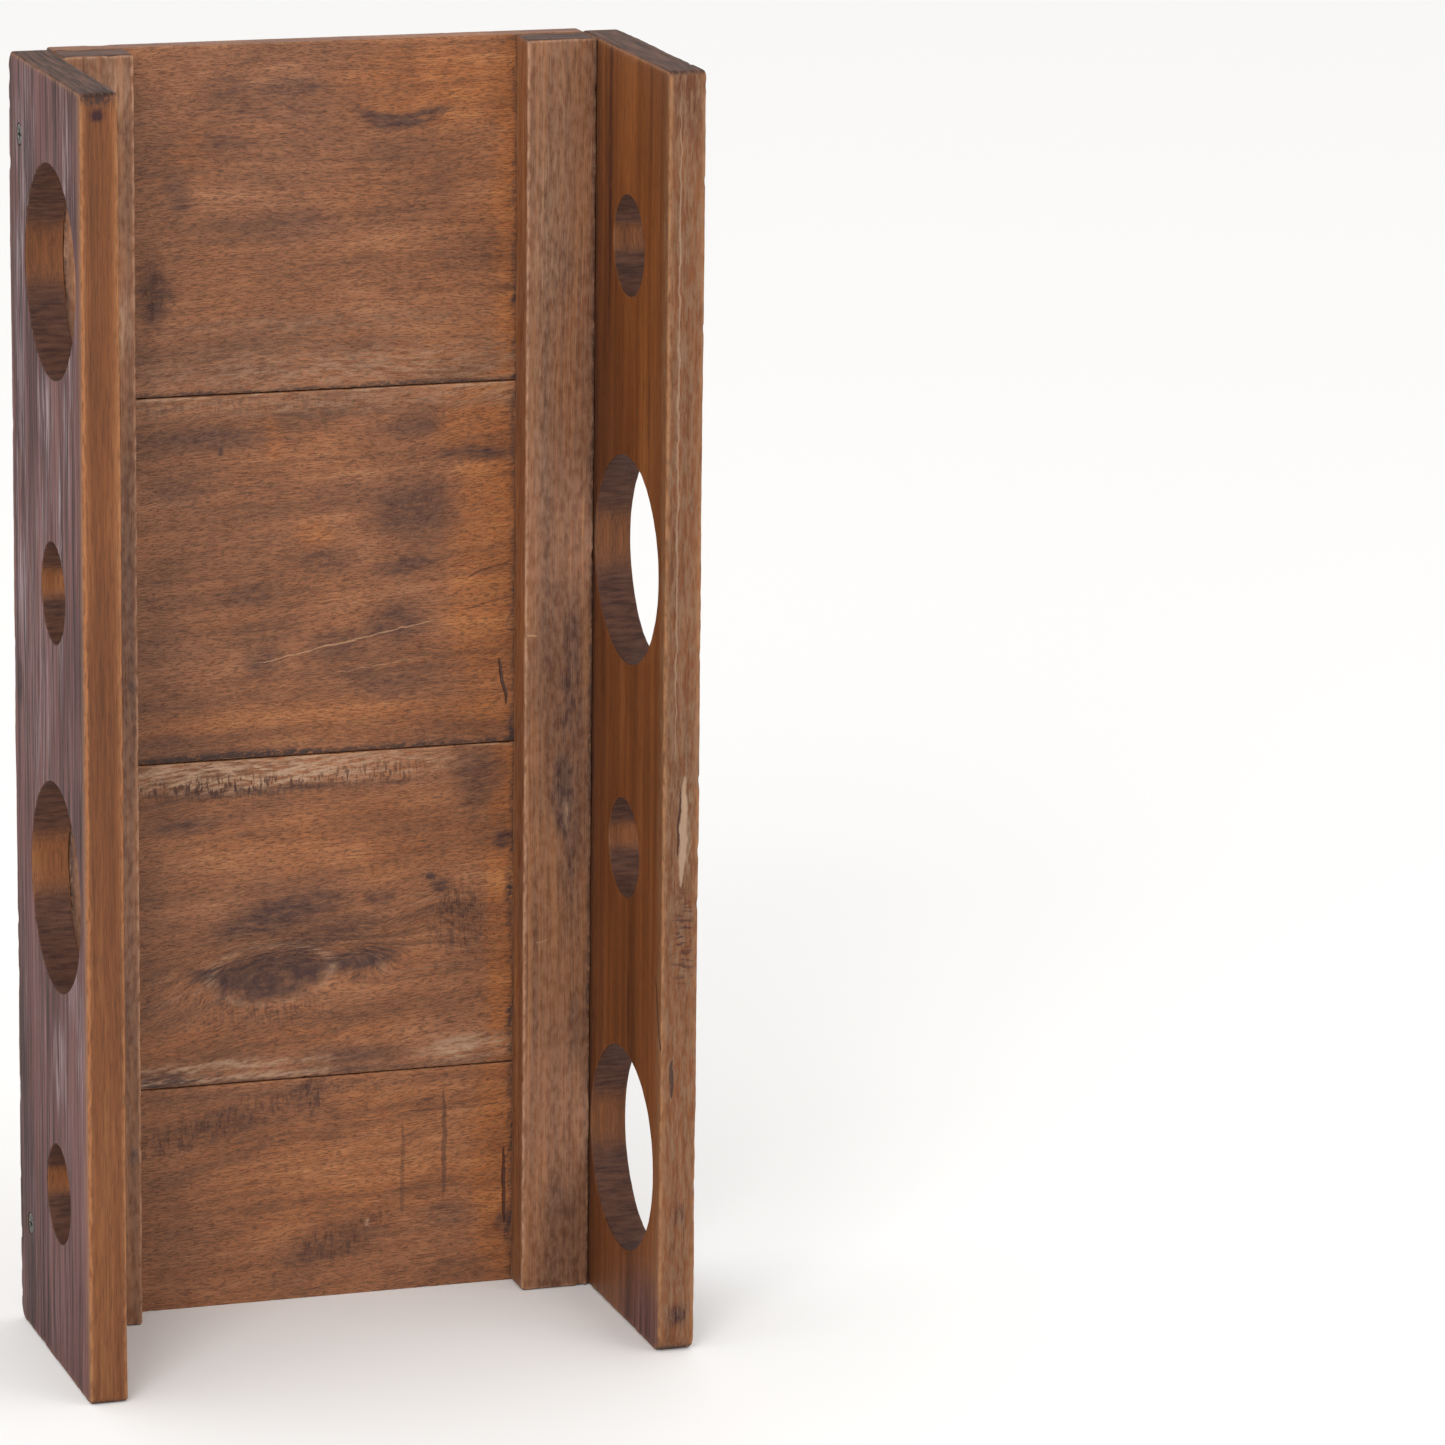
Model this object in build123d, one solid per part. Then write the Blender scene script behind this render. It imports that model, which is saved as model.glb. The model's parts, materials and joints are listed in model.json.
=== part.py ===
from build123d import *
import os

# A bottle rack for a wall or a worktop, made of reclaimed boards. Two side boards stand either
# side of four back boards, and an upright batten in each inner corner joins them. Each bottle
# lies level across the rack, its body in a large hole and its neck in a small one opposite.
# X runs from left to right, Y from front to back and Z up. The origin is the middle of the foot.

# Overall size, mm
rack_width = 240.0
rack_depth = 116.0
rack_height = 500.0

# Thicknesses and widths of the timber, mm
side_thickness = 15.0
back_thickness = 10.0
batten_thickness = 16.0
batten_width = 28.0

# Back boards: heights of the three joints between them, and the gap left at each joint, mm
back_joints = [90.5, 221.0, 365.0]
joint_gap = 0.5

# Bottle holes: one pair at each height, marked out by hand, so not quite evenly spaced, mm
hole_heights = [426.0, 304.0, 190.0, 69.0]
body_hole_radius = 40.0
neck_hole_radius = 19.0
hole_to_batten = 0.5        # the body holes just clear the front of the battens
hole_rounding = 1.0

# Worn corners and arrises, mm
back_corner_radius = 7.0
front_corner_radius = 3.0
side_arris = 1.2
back_arris = 0.8
batten_arris = 1.2

# Countersunk wood screws, mm
side_screw = {"length": 30.0, "shank": 4.0, "head": 8.0}
back_screw = {"length": 20.0, "shank": 3.5, "head": 7.0}
side_screw_heights = [43.0, 470.0]
back_screw_inset = 20.0     # from the top and bottom edge of each back board
tip_length = 4.0
head_sink = 0.4             # the heads sit a little below the wood
recess_width = 0.9
recess_depth = 1.2

# Places that follow from the sizes above
side_inner = rack_width / 2 - side_thickness
back_face = rack_depth / 2
back_front = back_face - back_thickness
batten_front = back_front - batten_thickness
batten_inner = side_inner - batten_width
hole_y = batten_front - hole_to_batten - body_hole_radius
batten_middle_x = side_inner - batten_width / 2
batten_middle_y = back_front - batten_thickness / 2

# Each back board's lower and upper edge, from the foot up
board_edges = [0.0] + back_joints + [rack_height]
back_spans = []
for low, high in zip(board_edges[:-1], board_edges[1:]):
    lift = joint_gap / 2 if low > 0 else 0.0
    drop = joint_gap / 2 if high < rack_height else 0.0
    back_spans.append((low + lift, high - drop))


def block(x_range, y_range, z_range):
    """A square-edged block between two corners."""
    size = [high - low for low, high in (x_range, y_range, z_range)]
    middle = [(high + low) / 2 for low, high in (x_range, y_range, z_range)]
    return Pos(*middle) * Box(*size)


def screw_body(screw):
    """The outside of a countersunk screw: its head faces +Z with the top at Z 0."""
    head_radius = screw["head"] / 2
    shank_radius = screw["shank"] / 2
    cone = head_radius - shank_radius
    outline = Polyline(
        (0, 0),
        (head_radius, 0),
        (shank_radius, -cone),
        (shank_radius, tip_length - screw["length"]),
        (0, -screw["length"]),
        (0, 0),
    )
    return revolve(make_face(Plane.XZ * outline), Axis.Z)


def wood_screw(screw):
    """A screw with a cross recess in its head."""
    span = screw["head"] * 0.6
    slot = Pos(0, 0, -recess_depth / 2) * Box(span, recess_width, recess_depth)
    return screw_body(screw) - slot - Rot(0, 0, 90) * slot


def screw_hole(screw):
    """What a driven screw takes out of the wood: its own outside and the sunk head's mouth."""
    mouth = Pos(0, 0, head_sink / 2) * Cylinder(screw["head"] / 2, head_sink)
    return screw_body(screw) + mouth


def driven(shape, surface_point, outward):
    """Turns a screw or its hole so that its head faces outward, sunk below the surface point."""
    direction = Vector(*outward)
    return Plane(origin=Vector(*surface_point) - direction * head_sink, z_dir=direction) * shape


def side_screw_points(side):
    """Where the screws enter the outer face of a side board. side is -1 at the left, 1 at the right."""
    return [(side * rack_width / 2, batten_middle_y, z) for z in side_screw_heights]


def back_screw_points(side, low, high):
    """Where a back board's screws enter its back, in line with the batten on that side."""
    heights = (low + back_screw_inset, high - back_screw_inset)
    return [(side * batten_middle_x, back_face, z) for z in heights]


def side_board(side):
    """A side board with four holes: the left one starts at the top with a body hole."""
    profile = Plane.YZ * Rectangle(rack_depth, rack_height)
    board = extrude(profile, side_thickness / 2, both=True)
    front_ends = board.edges().filter_by(Axis.X).group_by(Axis.Y)[0]
    board = fillet(front_ends, front_corner_radius)
    back_ends = board.edges().filter_by(Axis.X).group_by(Axis.Y)[-1]
    board = fillet(back_ends, back_corner_radius)
    board = Pos(side * (side_inner + side_thickness / 2), 0, rack_height / 2) * board
    for level, z in enumerate(hole_heights):
        is_body = (level % 2 == 0) == (side < 0)
        radius = body_hole_radius if is_body else neck_hole_radius
        bore = Rot(0, 90, 0) * Cylinder(radius, 2 * side_thickness)
        board -= Pos(side * side_inner, hole_y, z) * bore
    flat_faces = board.faces().filter_by(Axis.X)
    holes = flat_faces.edges().filter_by(GeomType.CIRCLE)
    mouths = [edge for edge in holes if edge.radius > back_corner_radius + 1]
    board = fillet(mouths, hole_rounding)
    outline = [
        edge
        for face in board.faces().filter_by(Axis.X)
        for edge in face.outer_wire().edges()
    ]
    board = fillet(outline, side_arris)
    for point in side_screw_points(side):
        board -= driven(screw_hole(side_screw), point, (side, 0, 0))
    return board


def back_board(low, high):
    """A back board with its grain across the rack, between two heights."""
    board = block((-side_inner, side_inner), (back_front, back_face), (low, high))
    board = fillet(board.edges(), back_arris)
    for side in (-1, 1):
        for point in back_screw_points(side, low, high):
            board -= driven(screw_hole(back_screw), point, (0, 1, 0))
    return board


def corner_batten(side):
    """The upright batten in one inner corner."""
    across = sorted((side * batten_inner, side * side_inner))
    batten = block(across, (batten_front, back_front), (0, rack_height))
    batten = fillet(batten.edges(), batten_arris)
    for point in side_screw_points(side):
        batten -= driven(screw_hole(side_screw), point, (side, 0, 0))
    for low, high in back_spans:
        for point in back_screw_points(side, low, high):
            batten -= driven(screw_hole(back_screw), point, (0, 1, 0))
    return batten


def side_screws(side):
    """The two screws through one side board into its batten."""
    points = side_screw_points(side)
    return [driven(wood_screw(side_screw), point, (side, 0, 0)) for point in points]


def back_screws(side):
    """The screws through the back boards into one batten, two in each board."""
    points = [p for low, high in back_spans for p in back_screw_points(side, low, high)]
    return [driven(wood_screw(back_screw), point, (0, 1, 0)) for point in points]


def group(solids):
    """Separate solids kept as one node."""
    return Compound([solid for part in solids for solid in part.solids()])


pieces = {
    "left_side_board": side_board(-1),
    "right_side_board": side_board(1),
    "left_batten": corner_batten(-1),
    "right_batten": corner_batten(1),
    "left_side_screws": group(side_screws(-1)),
    "right_side_screws": group(side_screws(1)),
    "left_back_screws": group(back_screws(-1)),
    "right_back_screws": group(back_screws(1)),
}
# Back boards are numbered from the top down
for number, (low, high) in enumerate(reversed(back_spans), start=1):
    pieces[f"back_board_{number}"] = back_board(low, high)

os.makedirs("parts", exist_ok=True)
for name, shape in pieces.items():
    export_step(shape, f"parts/{name}.step")
    print(name, round(shape.volume), "mm3")
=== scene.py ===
import json
import math

import bmesh
import bpy
from mathutils import Euler, Matrix, Vector, noise


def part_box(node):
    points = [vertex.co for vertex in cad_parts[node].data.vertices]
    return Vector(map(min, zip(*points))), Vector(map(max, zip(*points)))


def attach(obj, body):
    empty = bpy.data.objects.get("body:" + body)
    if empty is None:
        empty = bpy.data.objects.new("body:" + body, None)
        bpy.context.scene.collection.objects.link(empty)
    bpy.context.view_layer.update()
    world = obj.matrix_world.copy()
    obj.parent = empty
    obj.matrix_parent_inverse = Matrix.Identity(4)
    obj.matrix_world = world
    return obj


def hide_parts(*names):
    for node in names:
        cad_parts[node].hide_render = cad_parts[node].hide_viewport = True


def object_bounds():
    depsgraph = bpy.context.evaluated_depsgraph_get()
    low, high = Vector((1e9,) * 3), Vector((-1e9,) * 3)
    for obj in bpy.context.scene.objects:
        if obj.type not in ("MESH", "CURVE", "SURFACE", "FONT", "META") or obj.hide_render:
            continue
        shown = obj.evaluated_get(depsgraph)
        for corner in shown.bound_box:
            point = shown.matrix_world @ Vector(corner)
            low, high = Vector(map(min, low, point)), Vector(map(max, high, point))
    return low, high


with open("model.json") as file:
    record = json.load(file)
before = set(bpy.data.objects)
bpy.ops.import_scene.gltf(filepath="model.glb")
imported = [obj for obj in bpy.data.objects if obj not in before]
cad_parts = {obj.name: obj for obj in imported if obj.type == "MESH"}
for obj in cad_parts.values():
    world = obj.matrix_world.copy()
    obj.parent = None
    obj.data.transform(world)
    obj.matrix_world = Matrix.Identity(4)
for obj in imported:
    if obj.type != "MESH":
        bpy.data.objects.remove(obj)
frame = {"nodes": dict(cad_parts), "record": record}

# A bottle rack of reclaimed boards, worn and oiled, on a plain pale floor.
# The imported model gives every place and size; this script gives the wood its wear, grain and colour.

cadBox = [list(corner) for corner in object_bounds()]
mm = 0.001
print("frame loaded:", ", ".join(sorted(frame["nodes"])))


def linear(hexColour):  # an sRGB hex value as linear red, green, blue and alpha
    parts = [int(hexColour[i:i + 2], 16) / 255 for i in (1, 3, 5)]
    return [p / 12.92 if p <= 0.04045 else ((p + 0.055) / 1.055) ** 2.4 for p in parts] + [1.0]


# one node, its inputs given in order or by name; gives its outputs
def add(tree, kind, *inputs, **settings):
    node = tree.nodes.new("ShaderNode" + kind)
    for key, value in settings.items():
        setattr(node, key, value)
    named = inputs[0] if inputs and isinstance(inputs[0], dict) else dict(enumerate(inputs))
    for key, value in named.items():
        if isinstance(value, bpy.types.NodeSocket):
            tree.links.new(value, node.inputs[key])
        else:
            node.inputs[key].default_value = value
    return node.outputs


def clamp(value, low, high):
    return max(low, min(high, value))


def ease(value, low, high):  # 0 below low, 1 above high, smooth between
    s = clamp((value - low) / (high - low), 0, 1)
    return s * s * (3 - 2 * s)


# How a worn board is made. A board has its own millimetres: g along the grain, a across it and t through
# it, from its low corner. Its faces are low and high (the broad ones), start and end (the long edges) and
# ends (sawn end grain); a hole's wall is called hole.

edgeTicks = [0, 0.3, 0.65, 1.1, 1.7, 2.5, 3.6]  # close together, so that an arris can be rounded
edgeStep = 2.2  # between the vertices through a board's thickness
wear = {  # in mm where it is a length or a depth; a cell is one patch of wear along and across the grain
    "arrisCell": 24, "arrisUneven": 0.6, "arrisNicks": 0.35,
    "arrisReach": 1.5, "mouthReach": 0.6, "mouthShare": 0.25,
    "bendCell": (45, 30), "ripple": 3.1, "rippleShare": 0.22, "sway": 0.3,
    "waverCell": (30, 14), "waverBy": (2.5, 1.2), "tremorCell": (5, 2.5), "tremorBy": (1.6, 0.7),
    "ridgeCell": (70, 2.6), "leastRidge": 0.02,
    "tornCell": (2.4, 2.8), "torn": 0.22, "strokeCell": (1.9, 7), "stroke": 0.16,
    "chipCell": 7, "chipFrom": 0.34, "chipFull": 0.7, "softened": 0.10, "chipped": 0.9,
    "boreCell": (9, 40), "bore": 0.10, "sawCell": (1.8, 9), "saw": 0.07,
}


def edged(length, between, step):  # grid lines through every stop, about a step apart
    stops = edgeTicks + between + [length - e for e in reversed(edgeTicks)]
    lines = [stops[0]]
    for low, high in zip(stops[:-1], stops[1:]):
        count = max(1, round((high - low) / step))
        lines += [low + (high - low) * n / count for n in range(1, count + 1)]
    return lines


def nearest(lines, value):
    return min(range(len(lines)), key=lambda n: abs(lines[n] - value))


def boardGrid(size, holes, step):  # every vertex of the board's skin as (g, a, t, its hole), and the faces
    def cuts(n):  # a square patch of the grid is kept free round each hole
        return sorted({round(hole["at"][n] + way * hole["patch"], 3) for hole in holes for way in (-1, 1)})

    gs = edged(size[0], cuts(0), step)
    bs = edged(size[1], cuts(1), step)
    ts = edged(size[2], [], edgeStep)
    rows, cols, layers = len(gs) - 1, len(bs) - 1, len(ts) - 1
    spans = []
    for hole in holes:
        spans.append([nearest(line, hole["at"][n] + way * hole["patch"])
                      for n, line in ((0, gs), (1, bs)) for way in (-1, 1)])
    points, faces, index = [], [], {}

    def vertex(key, place, hole=None):
        if key not in index:
            index[key] = len(points)
            points.append((*place, hole))
        return index[key]

    def onGrid(i, j, k):
        return vertex((i, j, k), (gs[i], bs[j], ts[k]))

    for k in (0, layers):  # the two broad faces, less a square round each hole
        for i in range(rows):
            for j in range(cols):
                if not any(i0 <= i < i1 and j0 <= j < j1 for i0, i1, j0, j1 in spans):
                    faces.append([onGrid(i, j, k), onGrid(i + 1, j, k), onGrid(i + 1, j + 1, k),
                                  onGrid(i, j + 1, k)])
    for k in range(layers):  # the four edges
        for i in range(rows):
            for j in (0, cols):
                faces.append([onGrid(i, j, k), onGrid(i + 1, j, k), onGrid(i + 1, j, k + 1),
                              onGrid(i, j, k + 1)])
        for j in range(cols):
            for i in (0, rows):
                faces.append([onGrid(i, j, k), onGrid(i, j + 1, k), onGrid(i, j + 1, k + 1),
                              onGrid(i, j, k + 1)])
    for number, (hole, (i0, i1, j0, j1)) in enumerate(zip(holes, spans)):
        rim = ([(i, j0) for i in range(i0, i1)] + [(i1, j) for j in range(j0, j1)]
               + [(i, j1) for i in range(i1, i0, -1)] + [(i0, j) for j in range(j1, j0, -1)])
        (g, a), radius = hole["at"], hole["radius"]
        room = hole["patch"] - radius
        small = room < 2.5
        nearMouth = [0, 0.25, 0.6] if small else [0, 0.35, 0.75, 1.3, 2.0]
        count = 2 if small else max(8, round(room / step))

        def ring(n, k):  # one loop of vertices, n steps out from the hole's wall
            loop = []
            for i, j in rim:
                dg, da = gs[i] - g, bs[j] - a
                reach = math.hypot(dg, da)
                last = nearMouth[-1]
                out = (nearMouth[n] if n < len(nearMouth)
                       else last + (reach - radius - last) * (n - len(nearMouth) + 1) / (count + 1))
                place = (g + dg * (radius + out) / reach, a + da * (radius + out) / reach, ts[k])
                key = ("hole", number, k, n, i, j)
                loop.append(onGrid(i, j, k) if n == len(nearMouth) + count else vertex(key, place, number))
            return loop

        strips = [[ring(n, k) for n in range(len(nearMouth) + count + 1)] for k in (0, layers)]
        strips.append([ring(0, k) for k in range(layers + 1)])  # the hole's own wall
        for strip in strips:
            for inner, outer in zip(strip[:-1], strip[1:]):
                for n in range(len(rim)):
                    m = (n + 1) % len(rim)
                    faces.append([inner[n], inner[m], outer[m], outer[n]])
    return points, faces


# where a vertex goes once corners and arrises are worn, and how near an arris
def wornPlace(point, size, board):
    g, a, t, hole = point
    corner = board["corners"][(g > size[0] / 2, a > size[1] / 2)]
    cell = wear["arrisCell"]
    here = Vector((g / cell + board["seed"], a / cell, t / cell))
    worn = 1 + wear["arrisUneven"] * noise.noise(here) + wear["arrisNicks"] * noise.noise(here * 5)
    depth = min(t, size[2] - t)
    way = 1 if t > size[2] / 2 else -1
    flat = Vector((g, a))
    heart = Vector((clamp(g, corner, size[0] - corner), clamp(a, corner, size[1] - corner)))
    off = flat - heart
    inset, outward = corner, None
    if off.length > 1e-6:
        most = max(abs(off.x), abs(off.y))
        outward = off.normalized()
        flat = heart + outward * most
        inset = corner - most
    radius = min(board["arris"] * worn, corner)
    if hole is not None:
        cut = board["holes"][hole]
        inset = (flat - Vector(cut["at"])).length - cut["radius"]
        outward = (Vector(cut["at"]) - flat).normalized()
        radius = cut["arris"] * worn
    fromArris = math.hypot(max(inset, 0), depth)
    if outward is not None and inset < radius and depth < radius:
        x, y = radius - inset, radius - depth
        reach = math.hypot(x, y)
        if reach > 1e-6:
            flat = flat - outward * (radius - radius * x / reach - inset)
            t += way * (depth - radius + radius * y / reach)
    return Vector((flat.x, flat.y, t)), fromArris


def spot(along, across, length, width, amount, tilt=0.0, bend=0.0, soft=False, rim=0.0):
    # A mark on a board's face: where its middle is, half its length and width, how strong, and which way it
    # lies. A soft one fades from its middle; one with a rim is only a line that thick round its outline.
    return {"at": (along, across), "size": (length, width), "amount": amount, "bend": bend, "soft": soft,
            "rim": rim, "turn": (math.cos(math.radians(tilt)), math.sin(math.radians(tilt)))}


def strength(mark, g, a):
    dg, da = g - mark["at"][0], a - mark["at"][1]
    length, width = mark["size"]
    cosine, sine = mark["turn"]
    along = dg * cosine + da * sine
    over = da * cosine - dg * sine - mark["bend"] * along * along / length
    far = (along / length) ** 2 + (over / width) ** 2
    if far > 9:
        return 0.0
    if mark["rim"]:
        return mark["amount"] * math.exp(-((math.sqrt(far) - 1) * width / mark["rim"]) ** 2)
    return mark["amount"] * math.exp(-far if mark["soft"] else -0.7 * far * far)


def scratch(start, end, width, tone, amount, through=1):
    # A scratch, crack, rubbed line or painted highlight line from one point of the rack to another, in mm.
    # The face that it lies on
    # is square to the axis called through: 0 is x, 1 is y.
    return {"from": start, "to": end, "width": width, "tone": tone, "amount": amount, "through": through}


# one worn board in place of its CAD node, with what its material reads at every vertex
def makeBoard(name, board):
    low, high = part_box(board["node"])
    axes = board["axes"]
    seed = board["seed"]
    size = [(high[n] - low[n]) / mm for n in axes]
    points, faces = boardGrid(size, board["holes"], board["step"])
    placed = [wornPlace(p, size, board) for p in points]
    bm = bmesh.new()
    for place, _ in placed:
        co = Vector((0, 0, 0))
        for n, axis in enumerate(axes):
            co[axis] = low[axis] + place[n] * mm
        bm.verts.new(co)
    bm.verts.ensure_lookup_table()
    for corners in faces:
        bm.faces.new([bm.verts[n] for n in corners]).smooth = True
    bmesh.ops.recalc_face_normals(bm, faces=bm.faces[:])
    bm.normal_update()

    data = {"grainPlace": [], "marks": [], "edges": [], "skin": [], "figure": []}
    for vert, point, (place, fromArris) in zip(bm.verts, points, placed):
        g, a, t = place
        normal = vert.normal  # tells which face the vertex is on
        facing, edgeOn, endOn = normal[axes[2]], normal[axes[1]], abs(normal[axes[0]])
        inHole = point[3] is not None and abs(facing) < 0.75
        face = ("hole" if inHole else "low" if facing < -0.7 else "high" if facing > 0.7
                else "start" if edgeOn < -0.6 else "end" if edgeOn > 0.6 else "ends")
        across = t if face in ("start", "end") else a
        along, over = wear["waverCell"]  # a mark's outline strays, slowly and in a fine tremor
        waver = Vector((g / along + seed * 3, a / over, t / over))
        along, over = wear["tremorCell"]
        tremor = Vector((g / along + seed, a / over, t / over))
        markG = g + wear["waverBy"][0] * noise.noise(waver) + wear["tremorBy"][0] * noise.noise(tremor)
        markA = (across + wear["waverBy"][1] * noise.noise(waver + Vector((9, 4, 2)))
                 + wear["tremorBy"][1] * noise.noise(tremor + Vector((5, 8, 1))))
        here = {kind: sum(strength(m, markG, markA) for m in marks)
                for kind, marks in board["marks"].get(face, {}).items()}

        # the grain's own coordinates: bent by slow waves, a slope and eyes round old knots
        over, through = wear["bendCell"]
        wave = Vector((g / board["waveLength"] + seed, a / over, t / through))
        ripple = wear["rippleShare"] * noise.noise(wave * wear["ripple"])
        bend = board["waveHeight"] * (noise.noise(wave) + ripple)
        bend += board["slope"] * (g - size[0] / 2)
        eye = 0.0
        for knot in board["eyes"]:
            pull = strength(knot, g, a)
            bend += pull
            eye += abs(pull)
        data["grainPlace"].append((g + seed * 37, a - bend + seed * 11, t + wear["sway"] * bend))

        if point[3] is None:
            arris = math.exp(-(fromArris / wear["arrisReach"]) ** 2)
        else:
            arris = wear["mouthShare"] * math.exp(-(fromArris / wear["mouthReach"]) ** 2)
        weathered = here.get("weathered", 0) + board["weathered"].get(face, 0)
        bored = ease(endOn, 0.12, 0.4) if inHole else ease(endOn, 0.35, 0.85)  # fibres cut across
        data["marks"].append((here.get("dark", 0), here.get("pale", 0), here.get("warm", 0)))
        # how near an arris, for pale wear and a painted highlight there; then dirt and painted shade; then
        # torn grain
        data["edges"].append((arris * board["arrisWearAndHighlight"], here.get("grime", 0), here.get("rough", 0)))
        data["skin"].append((clamp(weathered, 0, 1), bored, 1.0 if inHole else 0.0))
        data["figure"].append((min(1, eye / 8), here.get("chatter", 0), here.get("wash", 0)))

        # relief, always inwards: slow waves, torn grain, dents, saw marks, chipped arrises
        along, over = wear["ridgeCell"]
        ridged = noise.noise(Vector((g / along + seed, a / over, t / over)))
        relief = board["ridge"].get(face, wear["leastRidge"]) * (1 + ridged)
        for along, over, depth in board["waves"]:
            relief += depth * (1 + noise.noise(Vector((g / along, a / over + seed, t / over))))
        if face in ("start", "end"):
            relief *= board["edgeRelief"]
        relief += here.get("dent", 0)
        if "rough" in here:
            along, over = wear["tornCell"]
            torn = noise.noise(Vector((g / along, a / over, t / over + seed)))
            relief += wear["torn"] * here["rough"] * (1 + torn)
        if "chatter" in here:
            along, over = wear["strokeCell"]
            cut = noise.noise(Vector(((markG + 0.3 * markA) / along, markA / over, seed)))
            relief += wear["stroke"] * here["chatter"] * (1 + cut)
        cell = wear["chipCell"]
        chip = ease(noise.noise(Vector((g / cell + seed * 5, a / cell, t / cell))), wear["chipFrom"],
                    wear["chipFull"])
        relief += arris * (wear["softened"] + wear["chipped"] * chip) * board["chips"]
        if inHole:
            over, along = wear["boreCell"]
            relief += wear["bore"] * (1 + noise.noise(Vector((g / over + seed, a / over, t / along))))
            over, along = wear["sawCell"]
            relief += wear["saw"] * (1 + noise.noise(Vector((g / over, a / over, t / along))))
        vert.co -= normal * relief * mm

    mesh = bpy.data.meshes.new(name)
    bm.to_mesh(mesh)
    bm.free()
    for key, values in data.items():
        layer = mesh.attributes.new(key, "FLOAT_VECTOR", "POINT")
        layer.data.foreach_set("vector", [number for value in values for number in value])
    piece = bpy.data.objects.new(name, mesh)
    bpy.context.scene.collection.objects.link(piece)
    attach(piece, "root")
    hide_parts(board["node"])
    print("board", name, len(mesh.vertices), "vertices")
    return piece


# The wood: reclaimed hardwood, a teak or one like it, sanded, with oil worked in. Fine open pores, tone in
# slow streaks, old stains left in, arrises worn pale with a painted highlight along them. The oil leaves it
# satin, so the eye gets soft broad highlights and deep warm colour; the old outside faces keep a grey-mauve
# skin with lines of worn whitewash and no shine.

lineAcross = 0.15  # how much distance counts through the face that a scratch lies on
wobblePerMm = 0.16  # cells of a scratch's wobble in one mm
stray = 2.4  # mm that a scratch strays, all told
glossSpread = 0.16  # how much the roughness changes from fibre to fibre


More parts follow.
